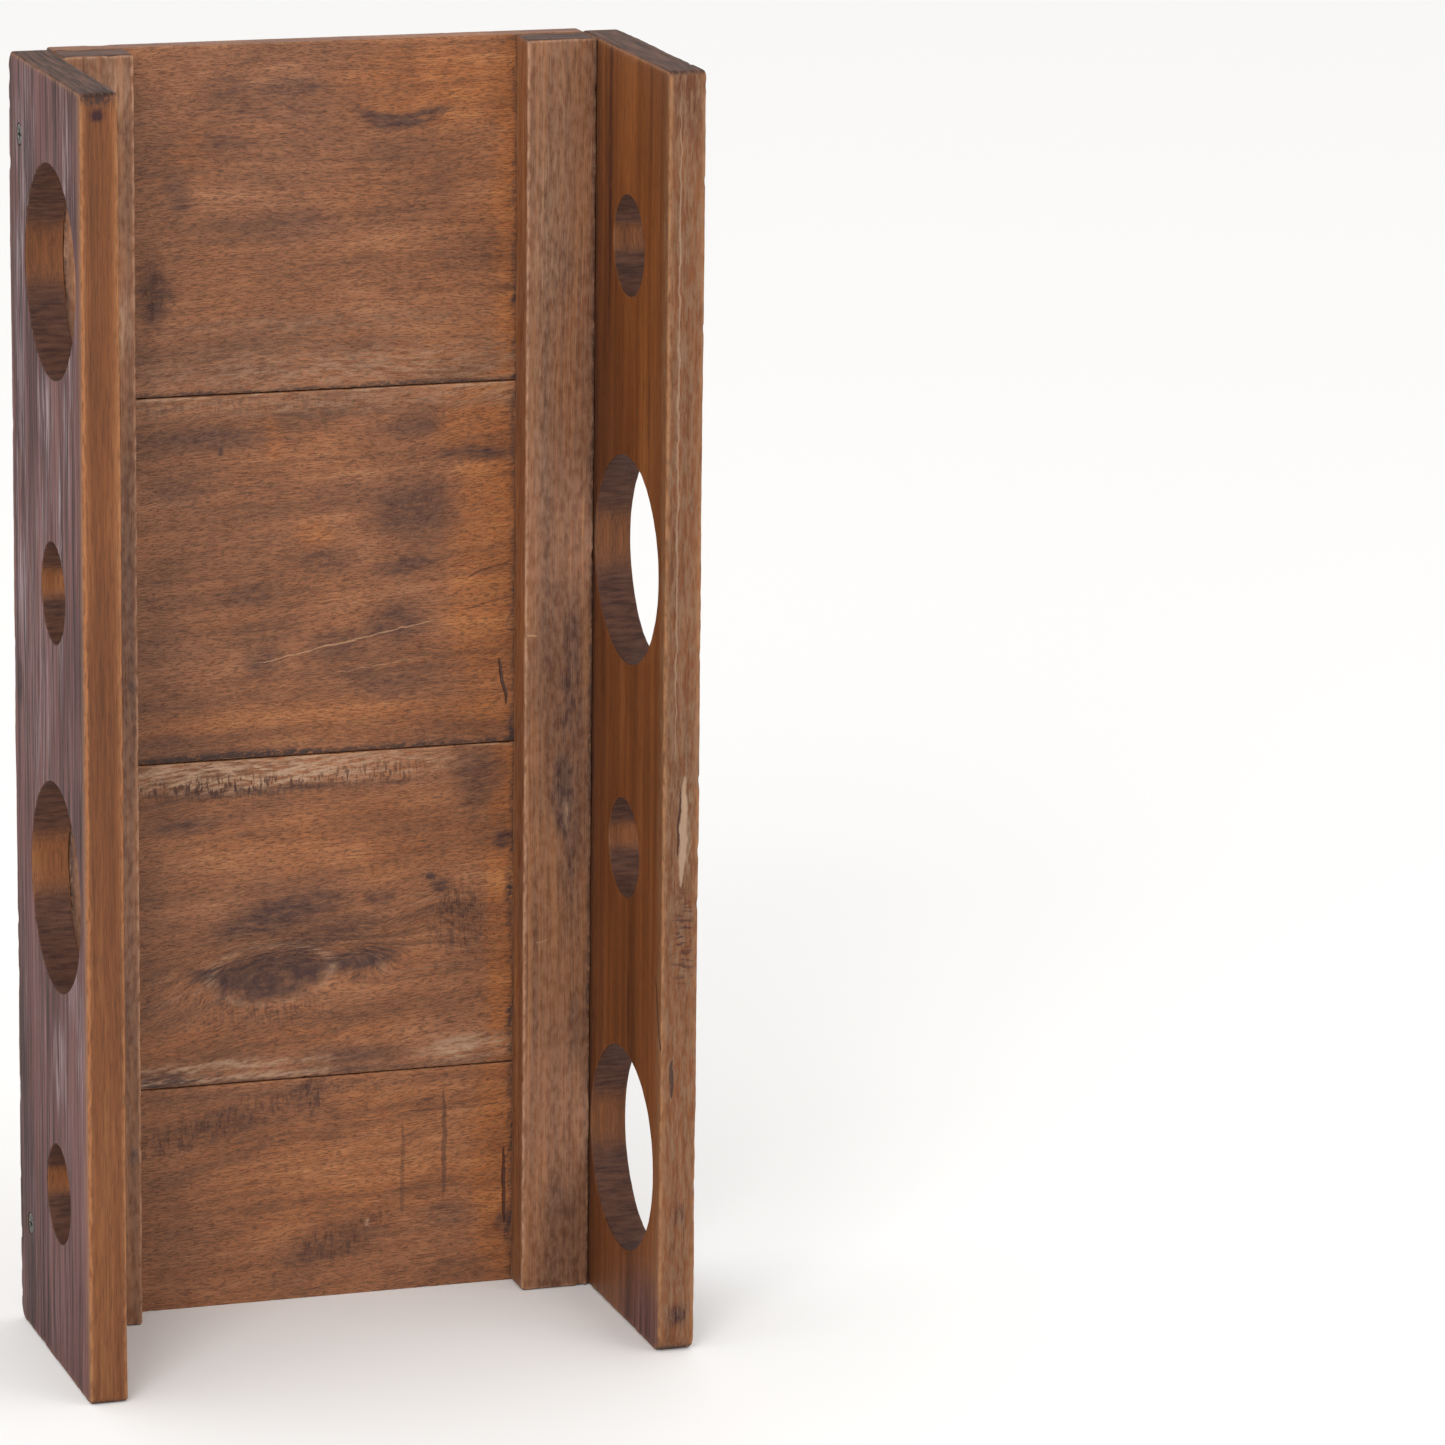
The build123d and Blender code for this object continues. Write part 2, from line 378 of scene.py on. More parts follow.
def woodMaterial(name, look):
    material = bpy.data.materials.new(name)
    material.use_nodes = True
    tree = material.node_tree
    tree.nodes.clear()
    place = add(tree, "Attribute", attribute_name="grainPlace")["Vector"]
    stored = {key: add(tree, "SeparateXYZ", add(tree, "Attribute", attribute_name=key)["Vector"])
              for key in ("marks", "edges", "skin", "figure")}
    stain, bleach, warmth = stored["marks"]
    arris, grime, torn = stored["edges"]
    oldSkin, endGrain, holeWall = stored["skin"]
    eye, chatter, wash = stored["figure"]

    pattern = {}  # the wood's patterns, each drawn out along the grain
    for number, (key, (length, width, detail, roughness)) in enumerate(look["patterns"].items(), 1):
        apart = (10.0 * number,) * 3  # so that no two patterns fall together
        across, through = width if isinstance(width, tuple) else (width, width)
        cell = (1 / length, 1 / across, 1 / through)
        drawn = add(tree, "VectorMath", place, cell, apart, operation="MULTIPLY_ADD")[0]
        pattern[key] = add(tree, "TexNoise", {
            "Vector": drawn, "Scale": 1.0, "Detail": detail, "Roughness": roughness,
            "Distortion": look["distortion"]})["Fac"]

    # tone: the fine and the slow patterns added up, then read off two ramps, one cool and one warm
    tone = add(tree, "Math", pattern["streak"], look["depths"]["streak"],
               0.5 - look["depths"]["streak"] / 2, operation="MULTIPLY_ADD")[0]
    for key in ("fibre", "band", "cloud"):
        part = add(tree, "Math", pattern[key], 0.5, operation="SUBTRACT")[0]
        tone = add(tree, "Math", part, look["depths"][key], tone, operation="MULTIPLY_ADD")[0]
    weatheredTone = pattern["crack"]
    for key, depth in (("streak", 0.8), ("cloud", 0.4)):
        part = add(tree, "Math", pattern[key], 0.5, operation="SUBTRACT")[0]
        weatheredTone = add(tree, "Math", part, depth, weatheredTone, operation="MULTIPLY_ADD")[0]
    ramps = {}
    for key, value in (("cool", tone), ("warm", tone), ("weathered", weatheredTone)):
        ramps[key] = add(tree, "ValToRGB", value)[0]
        stops = ramps[key].node.color_ramp.elements
        while len(stops) < len(look[key]):
            stops.new(0.5)
        for stop, (where, tint) in zip(stops, look[key]):
            stop.position = where
            stop.color = linear(tint)
    hue = add(tree, "MapRange", pattern["patch"], 0.4, 0.62, 0.0, look["depths"]["hue"])[0]
    hue = add(tree, "Math", hue, warmth, operation="ADD", use_clamp=True)[0]
    colour = add(tree, "Mix", {0: hue, 6: ramps["cool"], 7: ramps["warm"]}, data_type="RGBA")[2]

    # masks: what is told by a mark, broken up by the patterns so that its edge follows the grain. Each has
    # its mark, its pattern, where that pattern starts and ends, and how much of the mark shows at either.
    broken = {}
    for key, mark, by, low, high, least, most in (
            ("stain", stain, "break", 0.34, 0.62, 0.6, 1.35),
            ("bleach", bleach, "break", 0.62, 0.36, 0.0, 1.1),
            ("chatter", chatter, "tick", 0.5, 0.62, 0.0, 0.9),
            ("rub", arris, "fleck", 0.3, 0.65, 0.15, 1.0),
            ("grime", grime, "grit", 0.34, 0.56, 0.25, 1.1),
            ("wash", wash, "paint", 0.46, 0.60, 0.0, 1.0), ("ring", eye, "ring", 0.5, 0.64, 0.0, 0.75),
            ("paleRing", eye, "ring", 0.42, 0.36, 0.0, 0.3)):
        shown = add(tree, "MapRange", pattern[by], low, high, least, most,
                    interpolation_type="SMOOTHSTEP")[0]
        broken[key] = add(tree, "Math", mark, shown, operation="MULTIPLY", use_clamp=True)[0]
    pores = add(tree, "MapRange", pattern["pore"], 0.57, 0.63, 0.0, look["depths"]["pore"])[0]
    rings = add(tree, "MapRange", pattern["ring"], 0.5, 0.62, 0.0, look["depths"]["ring"])[0]

    # the weathered skin: its own ramp, then whitewash left in lines
    old = ramps["weathered"]
    left = add(tree, "MapRange", pattern["paint"], 0.52, 0.66, 0.0, look["depths"]["paint"])[0]
    leftWhere = add(tree, "MapRange", pattern["patch"], 0.42, 0.6)[0]
    left = add(tree, "Math", left, leftWhere, broken["wash"], operation="MULTIPLY_ADD", use_clamp=True)[0]
    old = add(tree, "Mix", {0: left, 6: old, 7: linear(look["tints"]["paint"])}, data_type="RGBA")[2]

    # a bored wall and sawn end grain: open ends of the pores, so darker, greyer and dry
    endMix = add(tree, "MapRange", pattern["end"], 0.36, 0.64)[0]
    boreMix = add(tree, "MapRange", pattern["bore"], 0.34, 0.66)[0]
    cutEnds = []
    for key, mix in (("end", endMix), ("bore", boreMix)):
        dark, light = look["cutEnds"][key]
        cutEnds.append(add(tree, "Mix", {0: mix, 6: linear(dark), 7: linear(light)}, data_type="RGBA")[2])
    cutEnd = add(tree, "Mix", {0: holeWall, 6: cutEnds[0], 7: cutEnds[1]}, data_type="RGBA")[2]
    cutHere = add(tree, "Math", endGrain, look["cutShows"], operation="MULTIPLY")[0]
    rub = add(tree, "Math", broken["rub"], look["depths"]["rub"], operation="MULTIPLY")[0]

    # what lies on the bare wood, from the bottom up: each layer's mask and its colour. The rub at the
    # arrises is pale worn wood with a painted highlight; the last layer is dirt, and painted shade in the
    # corners beside the battens
    tints = {key: linear(tint) for key, tint in look["tints"].items()}
    layers = [(rings, tints["ring"]), (broken["ring"], tints["ring"]), (broken["paleRing"], tints["pale"]),
              (pores, tints["pore"]), (oldSkin, old), (broken["stain"], tints["stain"]),
              (broken["bleach"], tints["pale"]), (broken["chatter"], tints["stain"]), (rub, tints["rub"]),
              (cutHere, cutEnd), (broken["grime"], tints["grime"])]
    for mask, tint in layers:
        colour = add(tree, "Mix", {0: mask, 6: colour, 7: tint}, data_type="RGBA")[2]

    # single scratches, cracks and rubbed lines; the polish lines are painted highlights along polished
    # arrises
    inRack = add(tree, "VectorMath", {0: add(tree, "TexCoord")["Object"], "Scale": 1 / mm},
                 operation="SCALE")[0]
    wobble = add(tree, "TexNoise", {"Vector": inRack, "Scale": wobblePerMm, "Detail": 3.0})["Color"]
    wander = add(tree, "VectorMath", wobble, (stray, stray, stray), inRack, operation="MULTIPLY_ADD")[0]
    unevenWidth = add(tree, "Math", pattern["fleck"], 0.8, 0.6, operation="MULTIPLY_ADD")[0]
    sunk = None
    for line in look["lines"]:
        start, run = Vector(line["from"]), Vector(line["to"]) - Vector(line["from"])
        weights = [lineAcross if axis == line["through"] else 1.0 for axis in range(3)]
        offset = add(tree, "VectorMath", wander, start + Vector((stray / 2,) * 3), operation="SUBTRACT")[0]
        offset = add(tree, "VectorMath", offset, weights, operation="MULTIPLY")[0]
        along = add(tree, "VectorMath", offset, run / run.length_squared, operation="DOT_PRODUCT")["Value"]
        along = add(tree, "Math", along, 0.0, operation="ADD", use_clamp=True)[0]
        onLine = add(tree, "VectorMath", {0: run, "Scale": along}, operation="SCALE")[0]
        away = add(tree, "VectorMath", offset, onLine, operation="DISTANCE")["Value"]
        rest = add(tree, "Math", 1.0, along, operation="SUBTRACT")[0]
        taper = add(tree, "Math", along, rest, operation="MULTIPLY")[0]
        taper = add(tree, "Math", taper, 0.4, operation="POWER")[0]
        width = add(tree, "Math", taper, 1.7 * line["width"], operation="MULTIPLY")[0]
        width = add(tree, "Math", width, unevenWidth, operation="MULTIPLY")[0]
        inside = add(tree, "Math", width, away, operation="SUBTRACT")[0]
        mask = add(tree, "MapRange", inside, 0.0, 0.4 * line["width"], 0.0, line["amount"])[0]
        colour = add(tree, "Mix", {0: mask, 6: colour, 7: tints[line["tone"]]}, data_type="RGBA")[2]
        if line["tone"] in ("stain", "grime"):
            sunk = mask if sunk is None else add(tree, "Math", sunk, mask, operation="MAXIMUM")[0]

    rough = add(tree, "Math", pattern["fibre"], glossSpread, look["roughness"] - glossSpread / 2,
                operation="MULTIPLY_ADD")[0]
    for part, more in ((oldSkin, 0.18), (torn, 0.12), (endGrain, 0.2), (grime, 0.2)):
        rough = add(tree, "Math", part, more, rough, operation="MULTIPLY_ADD", use_clamp=True)[0]

    # bump, in parts of look["bump"] millimetres: fibres up, pores, strokes, cracks and scratches down
    height = add(tree, "Math", pattern["fibre"], 0.6, operation="MULTIPLY")[0]
    tornFleck = add(tree, "Math", pattern["fleck"], torn, operation="MULTIPLY")[0]
    endFleck = add(tree, "Math", pattern["end"], endGrain, operation="MULTIPLY")[0]
    oldLines = add(tree, "Math", pattern["crack"], oldSkin, operation="MULTIPLY")[0]
    for part, depth in ((pores, -0.8), (tornFleck, 1.6), (broken["chatter"], -1.0), (endFleck, 1.5),
                        (oldLines, 2.6), (sunk, -2.5)):
        if part is not None:
            height = add(tree, "Math", part, depth, height, operation="MULTIPLY_ADD")[0]
    bump = add(tree, "Bump", {"Height": height, "Distance": look["bump"] * mm, "Strength": 1.0})[0]
    surface = add(tree, "BsdfPrincipled", {"Base Color": colour, "Roughness": rough, "IOR": 1.48,
                                           "Normal": bump, "Specular IOR Level": look["specular"]})
    add(tree, "OutputMaterial", {"Surface": surface[0]})
    print("material", name, len(tree.nodes), "nodes")
    return material


oiledBoard = {
    "cool": [(0.18, "#45210e"), (0.38, "#6a3e25"), (0.52, "#844f2e"), (0.66, "#966040"), (0.84, "#b4815a")],
    "warm": [(0.18, "#51260a"), (0.38, "#7f461d"), (0.52, "#985627"), (0.66, "#aa6936"), (0.84, "#c2864d")],
    "weathered": [(0.34, "#240f0d"), (0.44, "#492924"), (0.55, "#633c3a"), (0.74, "#7a524d")],
    # the dark dirt tint is also painted shade in the corners beside the battens
    "tints": {"stain": "#331515", "pale": "#ad8b70", "rub": "#b27f55", "grime": "#3f2b25",
              "ring": "#52301d", "pore": "#38200f", "paint": "#927f80", "scratch": "#b08562",
              # the last tint is a painted highlight on polished wood
              "polish": "#a8673a"},
    "cutEnds": {"end": ("#170b08", "#6c4a3b"), "bore": ("#2f1a15", "#553629")}, "cutShows": 0.92,
    # Real pores are 0.1 to 0.3 mm wide. Pore and fibre are drawn 0.4 mm wide or more, so that they show.
    # Each pattern: length and width of one cell in mm (or its size along, across and through), detail,
    # roughness.
    "patterns": {"fibre": (6, 0.4, 2, 0.6), "pore": (2.6, 0.4, 1, 0.5), "streak": (70, 3.0, 4, 0.62),
                 "band": (200, 14, 3, 0.5), "ring": (260, 3.2, 2, 0.5), "cloud": (40, 22, 2, 0.5),
                 "patch": (60, 34, 2, 0.5), "fleck": (5, 2.2, 3, 0.6), "break": (9, 1.6, 4, 0.7),
                 "tick": (1.4, 5, 2, 0.6), "grit": (2.2, 1.4, 3, 0.6), "bore": (1.1, 9, 3, 0.6),
                 "crack": (48, 1.1, 4, 0.6), "paint": (40, 1.5, 5, 0.62), "end": (6, (26, 1.3), 4, 0.65)},
    "distortion": 0.2,
    "depths": {"fibre": 0.7, "streak": 0.42, "band": 0.4, "cloud": 0.5, "hue": 0.28, "pore": 0.6,
               "ring": 0.2, "rub": 0.6, "paint": 0.44},
    "roughness": 0.55, "specular": 0.5, "bump": 0.2, "lines": [],
}

# The four back boards, grain across the rack, numbered from the top

backBoard = {"axes": (0, 2, 1), "step": 1.3, "arris": 0.5, "chips": 0.35, "arrisWearAndHighlight": 0.6, "eyes": [],
             "corners": {(x, y): 1.4 for x in (False, True) for y in (False, True)},
             "ridge": {"low": 0.03, "high": 0.06}, "waves": [(60, 60, 0.10), (14, 6, 0.035)],
             "edgeRelief": 0.1, "weathered": {"high": 0.35}, "slot": "back_board_wood",
             "waveLength": 110, "waveHeight": 5.0}
joint = [spot(105, 0, 300, 1.3, 0.85)]  # dirt packed along a board's lower edge
screwSeat = {"patch": 5.5, "arris": 0.3}
screwRoom = 0.15  # mm all round a screw's head


def screwSeats(board, screws, axis):  # where a board's own screws are let in, as small holes
    low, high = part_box(board)
    seats = []
    for node in screws:
        first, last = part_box(node)
        radius = (last[axis] - first[axis]) / 2
        side = (first[axis] + last[axis]) / 2
        heights = (first[2] + radius, last[2] - radius)
        if axis == 0:  # each back board has a screw as far from either edge as the top one has
            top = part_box("back_board_1")[1][2]
            heights = (low[2] + top - last[2] + radius, high[2] - top + last[2] - radius)
        for z in heights:
            level, upright = (side - low[axis]) / mm, (z - low[2]) / mm
            seats.append({"at": (level, upright) if axis == 0 else (upright, level), **screwSeat,
                          "radius": radius / mm + screwRoom})
    return seats


def cornerDirtAndShade(depth, *knots):  # dirt and painted shade in the corner beside the right batten, thicker here and there
    return [spot(182.5, 67, 1.1, 400, depth)] + [spot(182.3, at, 1.7, reach, 0.5) for at, reach in knots]


topBoard = {**backBoard, "node": "back_board_1", "seed": 1.3, "slope": 0.02, "marks": {"low": {
    "dark": [spot(136.8, 102.5, 17, 3.2, 0.95, bend=0.25), spot(94, 117.5, 13, 3.4, 0.5),
             spot(68, 119, 9, 5, 0.32), spot(84, 109, 26, 3.5, 0.26), spot(68, 97, 8, 3, 0.35),
             spot(92, 64, 19, 7, 0.36), spot(49, 76, 5, 8, 0.45), spot(38.5, 39, 6, 11, 0.62),
             spot(138, 91, 16, 4, 0.24), spot(153, 77, 6, 12, 0.24), spot(178, 37, 6, 2.5, 0.5),
             spot(52, 16, 30, 12, 0.2), spot(40, 66, 12, 60, 0.16, soft=True),
             spot(75, 112, 60, 26, 0.2, soft=True)],
    "warm": [spot(150, 115, 36, 14, 0.9), spot(53, 94, 9, 6, 0.7), spot(180, 60, 6, 80, 0.9)],
    "pale": [spot(130, 8, 100, 9, 0.42, soft=True), spot(105, 26, 60, 3, 0.2)],
    "rough": [spot(38, 40, 6, 12, 1.0)], "chatter": [spot(38, 40, 5, 11, 0.7)],
    "grime": joint + cornerDirtAndShade(0.6, (34, 4))}}}
upperBoard = {**backBoard, "node": "back_board_2", "seed": 2.7, "slope": 0.06, "marks": {"low": {
    "dark": [spot(61, 126.5, 25, 4.4, 0.6), spot(143, 128, 10, 6, 0.55), spot(166, 115, 15, 2.6, 0.85),
             spot(47, 107, 11, 6, 0.42), spot(142, 96, 16, 13, 0.62),
             spot(113, 103, 13, 6, 0.34), spot(107, 76, 13, 5, 0.45), spot(137, 73, 13, 3.6, 0.6, tilt=8),
             spot(75, 64, 15, 4.4, 0.48, tilt=8), spot(136, 50, 12, 8, 0.72), spot(82, 38, 9, 6, 0.6),
             spot(110, 43, 13, 6, 0.5, tilt=8), spot(133, 25, 19, 5, 0.42, bend=0.4),
             spot(40, 35, 12, 36, 0.22, soft=True), spot(66, 121.5, 0.8, 0.8, 1.2),
             spot(96, 8, 100, 4, 0.3)],
    "warm": [spot(170, 78, 14, 60, 1.0), spot(165, 126, 14, 9, 0.8), spot(102, 86, 7, 5, 0.8),
             spot(86, 126, 3, 9, 0.8), spot(110, 12, 90, 8, 0.6)],
    "pale": [spot(105, 139, 200, 4, 0.3), spot(105, 143.6, 300, 0.8, 0.9)],
    "chatter": [spot(143, 96, 14, 12, 0.25), spot(70, 139, 60, 3, 0.4)],
    "grime": [spot(105, -0.4, 300, 2.4, 0.85), spot(60, 1, 40, 2.4, 0.5),
              *cornerDirtAndShade(0.55, (4, 5), (60, 3))]}}}
lowerBoard = {**backBoard, "node": "back_board_3", "seed": 4.1, "slope": 0.10,
              "eyes": [spot(84, 45, 34, 12, 19, tilt=6, soft=True),
                       spot(119, 47, 17, 7, 9, tilt=8, soft=True),
                       spot(152, 58, 20, 16, 6, tilt=40, soft=True)],
              "marks": {"low": {
                  "dark": [spot(81, 43, 19, 8.5, 1.15, tilt=3), spot(60, 44.5, 9, 3, 0.7),
                           spot(86, 66, 27, 7, 0.78, tilt=13), spot(108, 58, 22, 4.6, 0.55, tilt=12),
                           spot(121, 47, 14, 5, 1.0, tilt=8), spot(101, 46, 9, 7, 0.55),
                           spot(129, 71, 6, 3.2, 0.6), spot(152, 74, 3.4, 3, 1.1),
                           spot(149, 78, 1.5, 1.4, 1.2), spot(160, 60, 11, 11, 0.3),
                           spot(50, 104, 14, 3, 0.5), spot(60, 107, 16, 2, 0.35),
                           spot(168, 117, 10, 12, 0.62), spot(177, 91, 4.4, 4, 1.0),
                           spot(84, 117, 58, 1.6, 0.55), spot(40, 3, 15, 3, 0.75),
                           spot(119, 7, 20, 4, 0.5), spot(90, 1.5, 90, 1.2, 0.5),
                           spot(38, 70, 12, 50, 0.14, soft=True), spot(100, 24, 36, 3, 0.1)],
                  "pale": [spot(60, 124, 44, 6, 1.2), spot(120, 124.5, 34, 5, 0.9),
                           spot(105, 130.2, 300, 0.8, 0.9), spot(165, 7, 18, 5, 0.95),
                           spot(60, 7, 44, 1.6, 0.9), spot(60, 2.2, 50, 1.2, 0.8),
                           spot(84, 43, 25, 11.5, 0.38, tilt=4, rim=0.9)],
                  "chatter": [spot(66, 119, 42, 4.4, 1.1), spot(128, 121, 22, 4.5, 0.8),
                              spot(85, 27, 26, 4.5, 0.6), spot(160, 60, 12, 13, 0.8),
                              spot(82, 44, 15, 7, 0.3)],
                  "rough": [spot(62, 119, 50, 5, 1.0), spot(82, 44, 20, 8, 0.8),
                            spot(160, 60, 10, 10, 0.6)],
                  "warm": [spot(178, 55, 6, 90, 1.0), spot(120, 95, 60, 14, 0.4), spot(70, 18, 60, 6, 0.4)],
                  "grime": [spot(105, -0.4, 300, 0.9, 0.7)] + cornerDirtAndShade(0.6, (91, 5), (70, 3), (20, 6))}}}
footBoard = {**backBoard, "node": "back_board_4", "seed": 5.9, "slope": 0.07, "marks": {"low": {
    "chatter": [spot(66, 75, 38, 6.0, 0.75, tilt=15), spot(100, 82, 4, 8, 0.8), spot(121, 84, 12, 2, 0.5),
                spot(108, 21, 14, 6.5, 0.75), spot(127, 30, 9, 4, 0.7, tilt=10)],
    "rough": [spot(108, 21, 14, 6.5, 1.0), spot(127, 30, 9, 4, 1.0), spot(66, 75, 38, 5, 0.6, tilt=15)],
    "dark": [spot(66, 75, 38, 5.5, 0.36, tilt=15), spot(98, 82, 6, 7, 0.3),
             spot(110, 23, 18, 7, 0.36, tilt=12), spot(157, 30, 9, 5, 0.52),
             spot(60, 58, 30, 2.4, 0.3, tilt=16), spot(46, 20, 12, 26, 0.24, soft=True),
             spot(179, 26, 3, 5, 0.6), spot(105, 86, 100, 2, 0.25)],
    "pale": [spot(123.5, 28.5, 0.9, 0.9, 1.4)],
    "warm": [spot(120, 55, 60, 30, 0.45), spot(175, 50, 8, 50, 0.9)],
    "grime": cornerDirtAndShade(0.55, (26, 5), (60, 6))}}}

backFace = 48  # how far back the back boards' near face lies, in mm
cracks = [
    scratch((-29.5, backFace, 258), (48, backFace, 272), 0.42, "scratch", 0.7),
    scratch((0.5, backFace, 252.5), (41, backFace, 257), 0.3, "scratch", 0.4),
    scratch((58, backFace, 288), (78, backFace, 294), 0.5, "stain", 0.5),
    scratch((56, backFace, 275), (77, backFace, 279), 0.4, "stain", 0.4),
    scratch((71, backFace, 255), (75, backFace, 236), 0.8, "grime", 0.9),
    scratch((32.5, backFace, 70), (32.5, backFace, 30), 1.1, "ring", 0.5),
    scratch((49.7, backFace, 82), (49.6, backFace, 36), 1.3, "ring", 0.7),
    scratch((74, backFace, 56), (74.5, backFace, 24), 0.9, "stain", 0.8),
    scratch((30, backFace, 73), (78, backFace, 73.5), 0.5, "stain", 0.3),
]
backWood = woodMaterial("Reclaimed hardwood, sanded and oiled (back)", {**oiledBoard, "lines": cracks})
for name, board in (("backBoard1", topBoard), ("backBoard2", upperBoard), ("backBoard3", lowerBoard),
                    ("backBoard4", footBoard)):
    board["holes"] = screwSeats(board["node"], ("left_back_screws", "right_back_screws"), 0)
    makeBoard(name, board).data.materials.append(backWood)

# The two side boards, grain upright; across runs from the front edge to the back

holeHeights = {"left": [], "right": []}
for mount in frame["record"]["mounts"]:
    if mount["kind"] == "bore":
        side = "left" if mount["pos_m"][0] < 0 else "right"
        holeHeights[side].append((mount["pos_m"][2], mount["pos_m"][1], mount["dims"]["r_mm"]))


def sideHoles(side, node):
    low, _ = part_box(node)
    holes = [{"at": ((z - low[2]) / mm, (y - low[1]) / mm), "radius": r, "patch": 43, "arris": 0.9}
             for z, y, r in sorted(holeHeights[side])]
    return holes + screwSeats(node, (side + "_side_screws",), 1)


sideBoard = {"axes": (2, 1, 0), "step": 1.5, "arris": 1.3, "chips": 0.8, "arrisWearAndHighlight": 1.0, "eyes": [],
             "corners": {(False, False): 3.0, (True, False): 3.0, (False, True): 7.0, (True, True): 7.0},
             "waves": [(60, 60, 0.10), (14, 6, 0.035)], "edgeRelief": 1.0,
             "slot": "side_board_wood", "waveLength": 200, "waveHeight": 2.5, "slope": 0.0}
leftSide = {**sideBoard, "node": "left_side_board", "seed": 7.7,
            "holes": sideHoles("left", "left_side_board"), "weathered": {"low": 1.0},
            "ridge": {"low": 0.14, "high": 0.03}, "marks": {
                "low": {"dark": [spot(257, 106, 8, 5, 0.8), spot(205, 20, 5, 2, 0.8),
                                 spot(400, 80, 110, 8, 0.2)],
                        "weathered": [spot(250, 0, 600, 5, -1.0)], "warm": [spot(250, 0, 600, 8, 0.5)],
                        "wash": [spot(372, 58, 12, 12, 1.0), spot(470, 22, 20, 5, 1.0),
                                 spot(350, 54, 16, 5, 0.8), spot(410, 22, 60, 6, 1.0),
                                 spot(315, 38, 40, 5, 1.1), spot(455, 88, 40, 16, 0.6),
                                 spot(280, 70, 60, 20, 0.5), spot(120, 46, 16, 10, 0.9),
                                 spot(140, 12, 30, 6, 0.6), spot(165, 24, 20, 8, 0.7),
                                 spot(360, 100, 110, 8, 0.7)]},
                "start": {"dark": [spot(491.5, 7, 2.2, 2.6, 1.0, tilt=20), spot(150, 7, 260, 20, 0.12)],
                          "grime": [spot(498.5, 7, 3.0, 6, 1.3)], "dent": [spot(499, 7, 3, 5, 0.8)]},
                "high": {"dark": [spot(250, 3, 400, 3, 0.3)]},
                "ends": {"dark": [spot(500, 4, 9, 8, 0.9)]}}}
rightSide = {**sideBoard, "node": "right_side_board", "seed": 9.2,
             "holes": sideHoles("right", "right_side_board"),
             "corners": {**sideBoard["corners"], (False, False): 5.5}, "weathered": {"high": 1.0},
             "ridge": {"low": 0.03, "high": 0.14}, "marks": {
                 "low": {"dark": [spot(455, 73, 60, 2.0, 0.75), spot(240, 77, 330, 3.0, 0.3),
                                  spot(250, 86, 400, 3, 0.35), spot(130, 42, 14, 1.0, 0.6),
                                  spot(375, 22, 26, 1.5, 0.3)],
                         "warm": [spot(430, 40, 90, 26, 0.7), spot(250, 52, 300, 40, 0.45, soft=True)],
                         "pale": [spot(250, 1.5, 400, 4.5, 0.6)], "weathered": [spot(0, 16, 24, 30, 0.9)],
                         # the dark line at 90 across is dirt and painted shade in the corner against the
                         # right batten's front face
                         "grime": [spot(250, 90, 400, 1.0, 0.8)]},
                 "start": {"pale": [spot(250, 7.5, 600, 14, 0.5), spot(208, 10, 18, 1.8, 0.6)],
                           "dent": [spot(224, 10.5, 3, 2.6, 0.9)],
                           "chatter": [spot(164, 9, 18, 4, 0.8)], "rough": [spot(205, 10, 22, 2, 0.8)],
                           "dark": [spot(250, 7, 600, 14, 0.1), spot(15, 8, 4, 3.5, 0.7),
                                    spot(57, 8, 4, 2, 0.6), spot(490, 7, 14, 10, 0.2)]},
                 "ends": {"dark": [spot(500, 6, 9, 9, 0.6)]}}}
sideLook = {**oiledBoard,
            "cool": [(0.18, "#3c1b09"), (0.38, "#5f3619"), (0.52, "#754423"), (0.66, "#895732"),
                     (0.84, "#a5714c")],
            "warm": [(0.18, "#3f1a06"), (0.38, "#653614"), (0.52, "#7a441c"), (0.66, "#90562a"),
                     (0.84, "#ad723f")],
            "patterns": {**oiledBoard["patterns"], "fibre": (32, 0.6, 2, 0.6), "pore": (8, 0.45, 1, 0.5),
                         "streak": (380, 4.5, 4, 0.6), "band": (700, 12, 3, 0.5), "ring": (600, 4, 2, 0.5),
                         "cloud": (150, 40, 2, 0.5), "patch": (90, 16, 2, 0.5)},
            "depths": {**oiledBoard["depths"], "fibre": 0.4, "streak": 0.4, "band": 0.4, "cloud": 0.4,
                       "pore": 0.3, "hue": 0.2, "ring": 0.12},
            "roughness": 0.5, "specular": 0.28}
front, outside, inside = -58, -120, 105  # mm to the front edges, left outer face and right inner face
leftLines = [
    # the first two lines are painted highlights along the front edge's two arrises, on polished wood
    scratch((-119, front, 496), (-119, front, 4), 0.55, "polish", 0.5),
    scratch((-105.6, front, 488), (-105.6, front, 4), 0.35, "polish", 0.6),
    scratch((outside, 20, 480), (outside, 22, 410), 0.6, "stain", 0.7, 0),
    scratch((outside, -36, 470), (outside, -35, 380), 0.5, "stain", 0.7, 0),
    scratch((outside, -22, 385), (outside, -24, 300), 0.5, "stain", 0.7, 0),
    scratch((outside, 30, 360), (outside, 28, 290), 0.5, "stain", 0.6, 0),
    scratch((outside, -44, 260), (outside, -42, 150), 0.5, "stain", 0.6, 0),
]
